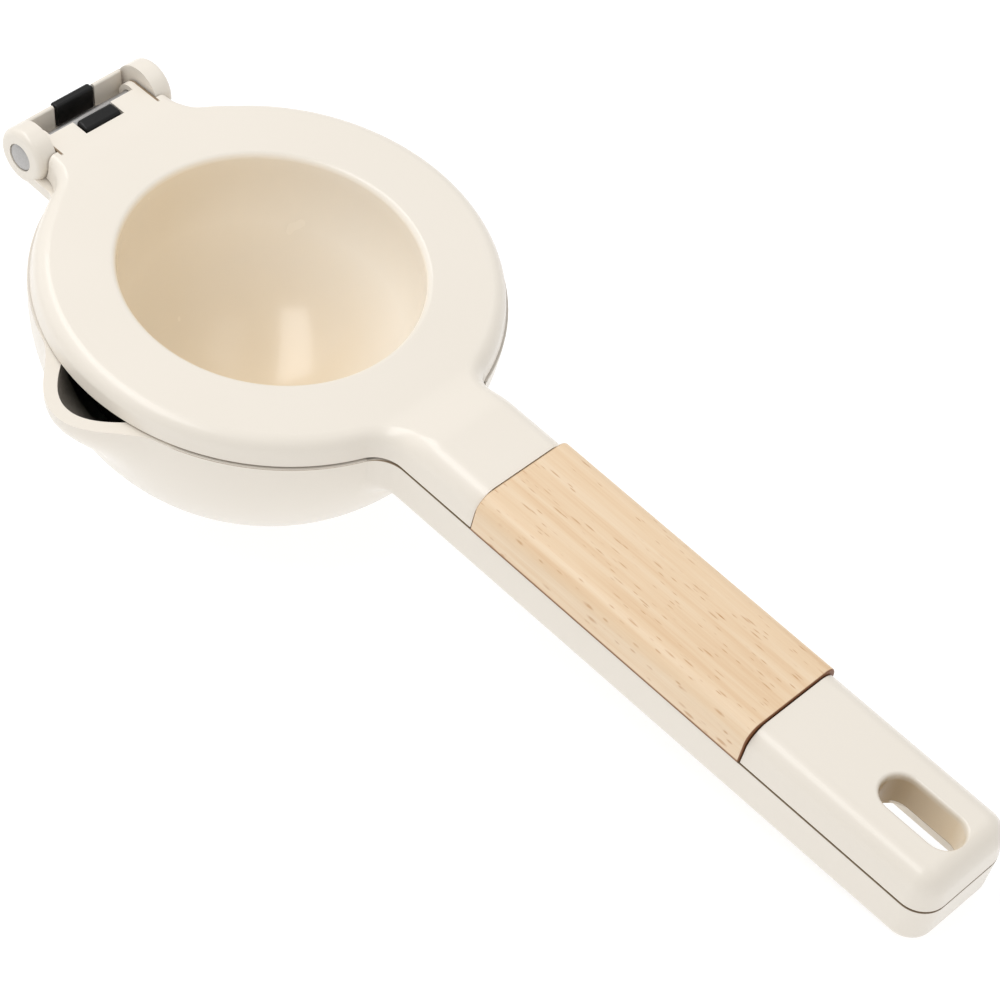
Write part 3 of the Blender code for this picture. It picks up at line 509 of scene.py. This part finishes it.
def fillet_rings(half_width, profile, fillet, toward, steps=12):
    """Rings of a rolling-ball fillet between the round cup and an arm's section.

    The first ring lies a little inside the cup's wall, so that the two join.
    """
    section = [(half_width - inset, z, y, up) for inset, z, y, up in profile]
    section += [(-y, z, -out, up) for y, z, out, up in reversed(section)]
    cup = Vector((0, 0, SEAM_DOWN))
    rings = []
    for i in range(steps + 1):
        ring = []
        for y, z, out_y, out_z in section:
            ball = Vector((0, y + fillet * out_y, z + fillet * out_z)) - cup
            ball.x = toward * sqrt((CUP_RADIUS + fillet) ** 2 - ball.length_squared)
            touch = (-ball).normalized().slerp(Vector((0, -out_y, -out_z)), i / steps)
            ring.append(cup + ball + fillet * touch)
        rings.append(ring)
    return [[cup + (point - cup) * FILLET_ROOT for point in rings[0]]] + rings


def cup_handle():
    """Handle of the cup arm, which grows out of the cup."""
    profile = side_profile(SEAM_DOWN, ARM_BOTTOM, CUP_EDGE)
    rings = fillet_rings(ARM_HALF_WIDTH, profile, NECK_FILLET, toward=1)
    rings += [station_ring(station, profile) for station in tail_stations()]
    return swept(rings, flat_end=False)


def handle_channel():
    """The channel that is open below, along the cup arm's handle."""
    inner = ARM_HALF_WIDTH - CHANNEL_WALL
    end = TAIL_END - CHANNEL_WALL
    tail = TAIL_CORNER - CHANNEL_WALL
    neck = inner / 2
    outline = arc((end - tail, inner - tail), tail, 0, pi / 2, steps=8)
    outline += arc((CHANNEL_START + neck, inner - neck), neck, pi / 2, pi, steps=8)
    outline += [(x, -y) for x, y in reversed(outline)]
    return slab(outline, ARM_BOTTOM - OVERRUN, CHANNEL_ROOF)


def ear_block():
    """Rounded drum and the plate under it, which the ears are cut from."""
    rim = (EAR_RADIUS - EAR_EDGE, EAR_OUTER - EAR_EDGE)
    profile = [(0, EAR_OUTER)] + arc(rim, EAR_EDGE, pi / 2, 0, steps=8)
    profile += [(x, -z) for x, z in reversed(profile)]
    far = PIN.z - EAR_RADIUS
    side = side_profile(SEAM_DOWN, far, min(EAR_EDGE, SEAM_DOWN - far - 2 * SEAM_FLARE))
    rings = fillet_rings(EAR_OUTER, side, EAR_FILLET, toward=-1)
    rings.append(station_ring((PIN.x, EAR_OUTER, 0, 1), side))
    return across(turned(profile, steps=96)), swept(rings)


def behind_pin(distance, along):
    """Point at a distance behind the pin and along the leaning stop plane."""
    x = -distance * cos(STOP_LEAN) - along * sin(STOP_LEAN)
    return (x, -distance * sin(STOP_LEAN) + along * cos(STOP_LEAN))


def behind_pin_at(distance, z):
    """Point at a height over the pin and at a distance behind it, off the leaning plane."""
    return (-(distance + z * sin(STOP_LEAN)) / cos(STOP_LEAN), z)


def hinge_cuts():
    """Room between the ears for the eyes, the pin and the stop pad."""
    plate = SEAM_DOWN - PIN.z
    height = sqrt((EAR_RADIUS - BAR_ROUNDING) ** 2 - (BAR_FACE + BAR_ROUNDING) ** 2)
    corner = (BAR_FACE + BAR_ROUNDING, height)
    top = [behind_pin(*point) for point in arc(corner, BAR_ROUNDING, pi / 3, pi, steps=7)]
    room = HINGE_ROOM
    opening = on_pin([behind_pin_at(BAR_FACE, plate), (HINGE_ROOM_FRONT, plate),
                      (HINGE_ROOM_FRONT, room), (-room, room)] + top)
    seat = on_pin([behind_pin_at(REAR_SEAT_DEPTH, plate), (0, plate), (0, room),
                   behind_pin(room, room), behind_pin(room, REAR_SEAT_LEVEL),
                   behind_pin(REAR_SEAT_DEPTH, REAR_SEAT_LEVEL)])
    slot = on_pin(rectangle((-room, 0), (plate, room)))
    cuts = [slab(opening, -EAR_INNER, EAR_INNER, "XZ"),
            slab(seat, -REAR_SEAT_HALF_WIDTH, REAR_SEAT_HALF_WIDTH, "XZ"),
            drum(EYE_RADIUS + GAP, -EAR_INNER, EAR_INNER),
            drum(PIN_HOLE_RADIUS, -EAR_OUTER, EAR_OUTER, segments=72)]
    for side in (-1, 1):
        low, high = sorted((side * BAR_HALF_WIDTH, side * EAR_INNER))
        cuts.append(slab(slot, low, high, "XZ"))
        low, high = sorted((side * (PIN_HEAD_INNER - GAP), side * (EAR_OUTER + OVERRUN)))
        cuts.append(drum(PIN_HEAD_RADIUS + PIN_HEAD_GAP, low, high, segments=72))
    return cuts


def build_cup_arm(coating):
    """Cup with its pouring lip, handle and ears, hollowed for the strainer."""
    ledge = [(0, OVERRUN), (LEDGE_RADIUS, OVERRUN), (LEDGE_RADIUS, LEDGE_Z), (0, LEDGE_Z)]
    block, plate = ear_block()
    cuts = [bowl(CUP_HOLLOW_RADIUS, LIP_HOLLOW_REACH, collar=OVERRUN), turned(ledge),
            handle_channel(),
            slab(stadium(*LOWER_SLOT_SIZE), ARM_BOTTOM - OVERRUN, OVERRUN)]
    steps = [("UNION", tool) for tool in (cup_handle(), block, plate)]
    steps += [("DIFFERENCE", tool) for tool in cuts + hinge_cuts()]
    bm = combined(bowl(CUP_RADIUS, LIP_REACH, collar=0), *steps)
    finish_piece("cup_casting", bm, "cup_body", "cream_coating", coating, "cup_arm")


def build_strainer(nylon):
    """Perforated bowl whose rim lies on the ledge inside the cup."""
    rim = LEDGE_RADIUS - GAP
    under = STRAINER_TOP - STRAINER_RIM
    inner = arc((0, STRAINER_TOP), STRAINER_RADIUS - STRAINER_WALL, -pi / 2, 0, steps=28)
    start = -asin(STRAINER_RIM / STRAINER_RADIUS)
    outer = arc((0, STRAINER_TOP), STRAINER_RADIUS, start, -pi / 2, steps=28)
    inner[0] = (0, inner[0][1])
    outer[-1] = (0, outer[-1][1])
    holes = bmesh.new()
    middle = STRAINER_RADIUS - STRAINER_WALL / 2
    for ring in range(DRAIN_RINGS):
        count = 6 * ring or 1
        for i in range(count):
            bearing = 2 * pi * (i + ring / 2) / count
            lean = ring * DRAIN_PITCH / middle
            out = Vector((sin(lean) * cos(bearing), sin(lean) * sin(bearing), -cos(lean)))
            turn = out.to_track_quat("Z", "Y").to_matrix().to_4x4()
            turn.translation = out * middle + Vector((0, 0, STRAINER_TOP))
            bmesh.ops.create_cone(
                holes, cap_ends=True, segments=24, radius1=DRAIN_RADIUS, radius2=DRAIN_RADIUS,
                depth=DRAIN_LENGTH, matrix=turn)
    bm = combined(turned(inner + [(rim, STRAINER_TOP), (rim, under)] + outer),
                  ("DIFFERENCE", holes))
    finish_piece("strainer_bowl", bm, "cup_body", "black_nylon", nylon, "strainer")


def build_pin(steel):
    """Rod with low domed rivet heads."""
    half = PIN_HEAD_DOME + [(PIN_HEAD_RADIUS, PIN_HEAD_INNER), (PIN_RADIUS, PIN_HEAD_INNER)]
    bm = across(turned(half + [(x, -z) for x, z in reversed(half)], steps=72))
    finish_piece("rivet_pin", bm, "cup_body", "stainless_steel", steel, "hinge_pin")


def build_screw(number, x, steel):
    """Countersunk screw with a cross recess, seen from below."""
    bm = turned(SCREW_PROFILE, steps=48)
    bmesh.ops.translate(bm, verts=bm.verts, vec=(x, 0, 0))
    drives = []
    for length, width in (CROSS_SIZE, CROSS_SIZE[::-1]):
        sides = rectangle((x - length / 2, x + length / 2), (-width / 2, width / 2))
        drives.append(("DIFFERENCE", slab(sides, -OVERRUN, CROSS_FLOOR)))
    finish_piece(f"cross_screw_{number}", combined(bm, *drives), "press_body",
                 "stainless_steel", steel, f"grip_screw_{number}")


def build_pads(silicone):
    """Pad in the tab's seat, and the pad that hooks over the bar between the ears."""
    pad = slab(on_pin(FRONT_PAD), -FRONT_PAD_HALF_WIDTH, FRONT_PAD_HALF_WIDTH, "XZ")
    finish_piece("front_pad", pad, "press_body", "black_silicone", silicone,
                 "press_stop_pad", edge=FRONT_PAD_BEVEL)
    face, step, back = REAR_PAD_FACES
    bottom, hook, top = REAR_PAD_LEVELS
    outline = on_pin([behind_pin_at(face, bottom), behind_pin(face, top),
                      behind_pin(back, top), behind_pin(back, hook),
                      behind_pin(step, hook), behind_pin_at(step, bottom)])
    pad = slab(outline, -REAR_PAD_HALF_WIDTH, REAR_PAD_HALF_WIDTH, "XZ")
    finish_piece("rear_pad", pad, "cup_body", "black_silicone", silicone,
                 "cup_stop_pad", edge=REAR_PAD_BEVEL)


# Colours of the finishes: pairs are the two ends of a variation

OUTER_CREAM = ((0.775, 0.718, 0.632), (0.810, 0.752, 0.668))
# Painted light and shade in the dome's hollow: its walls from shaded to lit, and its shaded
# floor
HOLLOW_SHADE_AND_LIGHT = ((0.910, 0.790, 0.610), (0.935, 0.880, 0.790))
HOLLOW_FLOOR_SHADE = (0.715, 0.600, 0.440)
# Painted shade on the hanging slot's wall, from its shaded end to its lit end
SLOT_WALL_SHADE = ((0.42, 0.30, 0.15), (0.82, 0.70, 0.52))
# Painted shade in the seam's groove and in the gaps between the eyes and the ears
SEAM_SHADE = (0.30, 0.22, 0.14)
JOINT_SHADE = (0.24, 0.165, 0.095)
BEECH_BANDS = (
    (0.32, (0.755, 0.540, 0.340)),
    (0.48, (0.820, 0.635, 0.435)),
    (0.68, (0.860, 0.705, 0.520)))
BEECH_FIBRE = (0.64, 0.41, 0.22)
BEECH_FLECK = (0.50, 0.26, 0.105)
# Painted shade in the gaps at the wood's ends and under its lower edge
TAIL_GAP_SHADE = (0.22, 0.08, 0.025)
NECK_GAP_SHADE = (0.46, 0.31, 0.18)
LOWER_EDGE_SHADE = (0.24, 0.10, 0.035)
STEEL = ((0.33, 0.32, 0.31), (0.52, 0.51, 0.50))
SILICONE_BLACK = ((0.003, 0.003, 0.003), (0.007, 0.007, 0.007))
NYLON_BLACK = ((0.006, 0.0055, 0.005), (0.013, 0.012, 0.011))


# Finishes

class Maths:
    """A shader socket that takes part in Python expressions."""

    def __init__(self, shader, socket):
        self.shader = shader
        self.socket = socket

    def work(self, operation, *values):
        return self.shader.node(
            "ShaderNodeMath", {"operation": operation}, dict(enumerate(values)))

    def __add__(self, other):
        return self.work("ADD", self, other)

    def __sub__(self, other):
        return self.work("SUBTRACT", self, other)

    def __rsub__(self, other):
        return self.work("SUBTRACT", other, self)

    def __mul__(self, other):
        return self.work("MULTIPLY", self, other)

    def __abs__(self):
        return self.work("ABSOLUTE", self)

    __radd__ = __add__
    __rmul__ = __mul__


class Finish:
    """A material whose pattern lies on the piece, in millimetres of the seam frame."""

    def __init__(self, name, roughness, metallic=0.0):
        self.material = bpy.data.materials.new(name)
        self.material.use_nodes = True
        self.tree = self.material.node_tree
        self.surface = self.tree.nodes["Principled BSDF"]
        self.surface.inputs["Roughness"].default_value = roughness
        self.surface.inputs["Metallic"].default_value = metallic

    def node(self, kind, settings=None, values=None, output=0):
        node = self.tree.nodes.new(kind)
        for key, value in (settings or {}).items():
            if key == "stops":
                self.set_stops(node.color_ramp, value)
            else:
                setattr(node, key, value)
        for key, value in (values or {}).items():
            if isinstance(value, Maths):
                value = value.socket
            if isinstance(value, bpy.types.NodeSocket):
                self.tree.links.new(value, node.inputs[key])
            else:
                node.inputs[key].default_value = value
        return Maths(self, node.outputs[output])

    def set_stops(self, ramp, stops):
        while len(ramp.elements) < len(stops):
            ramp.elements.new(1.0)
        for element, (place, colour) in zip(ramp.elements, stops):
            element.position = place
            element.color = (*colour, 1)

    def place(self, stretch=(1, 1, 1)):
        """Seam frame coordinates in millimetres, stretched."""
        seam = self.node(
            "ShaderNodeMapping", {"vector_type": "TEXTURE"},
            {"Vector": self.node("ShaderNodeTexCoord", output=3),
             "Location": SEAM_CENTRE, "Rotation": (0, TILT, 0)})
        return self.node("ShaderNodeVectorMath", {"operation": "MULTIPLY"},
                         {0: seam, 1: tuple(value / MM for value in stretch)})

    def axis(self, number):
        """A seam frame coordinate: 0 along the arms, 1 across them, 2 upwards."""
        return self.node("ShaderNodeSeparateXYZ", None, {0: self.place()}, output=number)

    def distance(self, centre):
        """Distance from a point of the seam frame."""
        return self.node("ShaderNodeVectorMath", {"operation": "DISTANCE"},
                         {0: self.place(), 1: centre}, output=1)

    def noise(self, size, detail=2.0, stretch=(1, 1, 1), roughness=0.5):
        """Noise with patches of about a size in millimetres."""
        return self.node(
            "ShaderNodeTexNoise", None,
            {"Vector": self.place(stretch), "Scale": 1 / size, "Detail": detail,
             "Roughness": roughness})

    def mix(self, factor, first, second):
        """Colour between two colours or colour links."""
        return self.node(
            "ShaderNodeMix", {"data_type": "RGBA"},
            {"Factor": factor, 6: self.colour(first), 7: self.colour(second)}, output=2)

    def colour(self, value):
        return (*value, 1) if isinstance(value, tuple) else value

    def ramp(self, factor, stops):
        return self.node("ShaderNodeValToRGB", {"stops": stops}, {"Fac": factor})

    def between(self, value, start, end):
        """0 at the start value and 1 at the end value, held between them."""
        return self.node(
            "ShaderNodeMapRange", {"clamp": True},
            {"Value": value, "From Min": start, "From Max": end, "To Min": 0.0, "To Max": 1.0})

    def band(self, value, start, full, fade, end):
        """0 outside the start and end values, and 1 from full to fade."""
        return self.between(value, start, full) * self.between(value, end, fade)

    def bump(self, height, depth):
        """Normal from a height between 0 and 1, times a depth in millimetres."""
        return self.node("ShaderNodeBump", None,
                         {"Height": height, "Distance": depth * MM, "Strength": 1.0})

    def put(self, **sockets):
        for name, value in sockets.items():
            socket = self.surface.inputs[name.replace("_", " ")]
            if isinstance(value, Maths):
                self.tree.links.new(value.socket, socket)
            else:
                socket.default_value = value
        return self.material


def cream_coating():
    """Glossy coat of cream lacquer, with painted light and shade in the hollow and on the
    slot's wall, and painted shade in the gaps at the ears and along the seam.
    """
    finish = Finish("cream_coating", 0.36)
    along, aside, up = (finish.axis(number) for number in range(3))
    off_middle, height = abs(aside), abs(up)
    outside = finish.mix(finish.noise(38), *OUTER_CREAM)

    # Painted light and shade in the hollow: warm walls as with light bounced inside it, the
    # far right wall painted lightest as lit from the left, and painted shade darkest at its
    # floor
    hollow = finish.between(
        finish.distance((0, 0, DOME_CENTRE_Z)), HOLLOW_RADIUS + 1.0, HOLLOW_RADIUS + 0.2)
    inside = finish.mix(finish.between(0.5 * along + aside, -14, 24), *HOLLOW_SHADE_AND_LIGHT)
    inside = finish.mix(finish.between(up, -10, -27), inside, HOLLOW_FLOOR_SHADE)
    tone = finish.mix(hollow, outside, inside)

    # Painted shade on the wall of the hanging slot, darkest at its end towards the cup and
    # lighter towards the tail
    length, width = SLOT_SIZE
    wall = finish.between(off_middle, width / 2 + 0.5, width / 2 + 0.1)
    wall = wall * finish.between(abs(along - SLOT_CENTRE), length / 2 + 0.5, length / 2 + 0.1)
    wall = wall * finish.between(up, ARM_TOP, ARM_TOP - 1.6)
    tone = finish.mix(wall, tone, finish.mix(finish.between(along, 146, 158), *SLOT_WALL_SHADE))

    # Painted shade in the groove of the seam between the arms, which leaves out the tab, the
    # hollow and the lip
    seam = finish.band(height, 0.155, 0.175, 0.25, 0.30)
    seam = seam * finish.between(finish.distance((0, 0, 0)), 37, 38)
    seam = seam * finish.between(along, -40, -38)
    lip = finish.between(abs(along), 18, 17) * finish.between(aside, -36, -37)
    tone = finish.mix(seam * (1 - lip), tone, SEAM_SHADE)

    # Painted shade in the gaps between the eyes and the ears
    joint = finish.band(off_middle, 11.3, 11.35, 11.8, 11.85)
    joint = joint * finish.between(along, -43, -43.5)
    return finish.put(
        Base_Color=finish.mix(joint, tone, JOINT_SHADE),
        Roughness=0.33 + 0.06 * finish.noise(6) - 0.10 * hollow,
        Coat_Weight=0.30,
        Coat_Roughness=0.12,
        Normal=finish.bump(finish.noise(0.9, detail=3), 0.004))


def beech_wood():
    """Steamed beech with long bands and short ray flecks, and painted shade in the gaps at its
    ends and along its lower edge.
    """
    finish = Finish("beech", 0.5)
    along, aside, up = (finish.axis(number) for number in range(3))
    bands = finish.noise(2.1, detail=4, stretch=(0.03, 1, 1), roughness=0.6)
    fibres = finish.noise(0.24, detail=3, stretch=(0.022, 1, 1), roughness=0.65)
    tone = finish.mix(0.42 * fibres, finish.ramp(bands, BEECH_BANDS), BEECH_FIBRE)
    flecks = 0.0
    for size, stretch, rarity in ((0.90, 0.125, 0.31), (0.62, 0.15, 0.34)):
        cells = finish.node(
            "ShaderNodeTexVoronoi", {"feature": "F1"},
            {"Vector": finish.place((stretch, 1, 0.45)), "Scale": 1 / size, "Randomness": 1.0})
        shown = finish.between(finish.noise(2.2 + size, detail=1), rarity, rarity + 0.2)
        flecks = finish.between(cells, 0.21, 0.10) * shown + flecks
    tone = finish.mix(0.62 * flecks, tone, BEECH_FLECK)

    # Painted shade in the gaps at the ends and along the lower edge, where the wood meets the
    # arm
    start, end = GRIP_ENDS
    tone = finish.mix(finish.between(along, end - 0.22, end - 0.1), tone, TAIL_GAP_SHADE)
    tone = finish.mix(finish.between(along, start + 0.3, start + 0.1), tone, NECK_GAP_SHADE)
    edge = finish.between(up, 0.85, 0.55) * finish.between(
        abs(aside), GRIP_HALF_WIDTH - 0.7, GRIP_HALF_WIDTH - 0.4)
    return finish.put(
        Base_Color=finish.mix(edge, tone, LOWER_EDGE_SHADE),
        Roughness=0.46 + 0.14 * fibres,
        Normal=finish.bump(1 - 0.6 * fibres - 0.4 * flecks, 0.02))


def stainless_steel():
    """Drawn rod with fine lines round it and a bright, slightly uneven ground face."""
    finish = Finish("stainless_steel", 0.25, metallic=1.0)
    lines = finish.noise(0.25, stretch=(1, 0.08, 1))
    return finish.put(
        Base_Color=finish.mix(lines, *STEEL),
        Roughness=0.30 + 0.16 * lines,
        Normal=finish.bump(lines, 0.003))


def black_silicone():
    """Soft black rubber with a faint grain."""
    finish = Finish("black_silicone", 0.4)
    grain = finish.noise(0.5, detail=3)
    return finish.put(
        Base_Color=finish.mix(grain, *SILICONE_BLACK),
        Roughness=0.26 + 0.14 * grain,
        Specular_IOR_Level=0.28,
        Normal=finish.bump(grain, 0.006))


def black_nylon():
    """Moulded nylon with the fine sparked texture of its mould."""
    finish = Finish("black_nylon", 0.5)
    grain = finish.noise(0.35, detail=3)
    return finish.put(
        Base_Color=finish.mix(grain, *NYLON_BLACK),
        Roughness=0.5 + 0.16 * grain,
        Specular_IOR_Level=0.12,
        Normal=finish.bump(grain, 0.012))


# Stage

def add_stage():
    """Pale floor that runs on to the horizon."""
    bm = bmesh.new()
    bmesh.ops.create_grid(bm, x_segments=1, y_segments=1, size=4.0)
    floor = temporary("floor", bm)
    paper = Finish("floor_paper", 0.9).put(
        Base_Color=(0.35, 0.35, 0.35, 1), Emission_Color=(1, 1, 1, 1), Emission_Strength=0.76)
    floor.data.materials.append(paper)


def add_panel(name, place, size, power, spin, lean=0.0):
    """Soft panel over the table, leant from shining straight down and spun round.

    The place and the size are in metres, the power in watts, and the turns in degrees.
    """
    light = bpy.data.lights.new(name, "AREA")
    light.shape = "RECTANGLE"
    light.size, light.size_y = size
    light.energy = power
    lamp = bpy.data.objects.new(name, light)
    lamp.location = place
    lamp.rotation_euler = (radians(lean), 0, radians(spin))
    bpy.context.scene.collection.objects.link(lamp)


def add_lights():
    """Two long panels over the table and a broad one at the left, in a pale room."""
    world = bpy.data.worlds.new("studio")
    bpy.context.scene.world = world
    world.use_nodes = True
    room = world.node_tree.nodes["Background"]
    room.inputs["Color"].default_value = (1, 1, 1, 1)
    room.inputs["Strength"].default_value = 0.64
    add_panel("key_panel", (-0.28, -0.14, 1.0), (1.25, 0.40), power=5.7, spin=133)
    add_panel("far_panel", (0.22, 0.66, 1.0), (1.25, 0.50), power=1.2, spin=133)
    add_panel("left_panel", (-1.05, -0.30, 0.85), (1.2, 1.0), power=1.7, spin=-74, lean=52)


def add_camera():
    """Camera of the photograph, placed in the seam frame."""
    around, rise, roll = radians(34.66), radians(49.35), radians(13.13)
    back = Vector((sin(around) * cos(rise), -cos(around) * cos(rise), sin(rise)))
    right = Vector((0, 0, 1)).cross(back).normalized()
    up = back.cross(right)
    turned_right = cos(roll) * right + sin(roll) * up
    turned_up = cos(roll) * up - sin(roll) * right
    stand = 40.91 * turned_right - 38.30 * turned_up + 620.08 * back
    axes = Matrix((turned_right, turned_up, back)).transposed().to_4x4()
    lens = bpy.data.cameras.new("camera")
    lens.lens = 125.45
    lens.clip_start = 0.01
    camera = bpy.data.objects.new("camera", lens)
    camera.matrix_world = SEAM_FRAME @ Matrix.Translation(stand * MM) @ axes
    bpy.context.scene.collection.objects.link(camera)
    bpy.context.scene.camera = camera


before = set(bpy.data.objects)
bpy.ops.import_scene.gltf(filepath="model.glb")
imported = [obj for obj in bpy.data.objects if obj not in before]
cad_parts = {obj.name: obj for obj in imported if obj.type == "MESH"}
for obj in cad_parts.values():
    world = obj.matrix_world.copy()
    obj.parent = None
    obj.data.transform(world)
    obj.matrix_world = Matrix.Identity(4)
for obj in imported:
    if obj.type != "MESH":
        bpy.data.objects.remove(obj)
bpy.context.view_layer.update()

add_camera()
add_stage()
add_lights()
bpy.context.scene.view_settings.view_transform = "Standard"

coating = cream_coating()
beech = beech_wood()
steel = stainless_steel()
silicone = black_silicone()
nylon = black_nylon()

build_press_arm(coating)
build_wood_grip(beech)
build_cup_arm(coating)
build_strainer(nylon)
build_pin(steel)
for screw_number, screw_x in enumerate(SCREW_PLACES, 1):
    build_screw(screw_number, screw_x, steel)
build_pads(silicone)
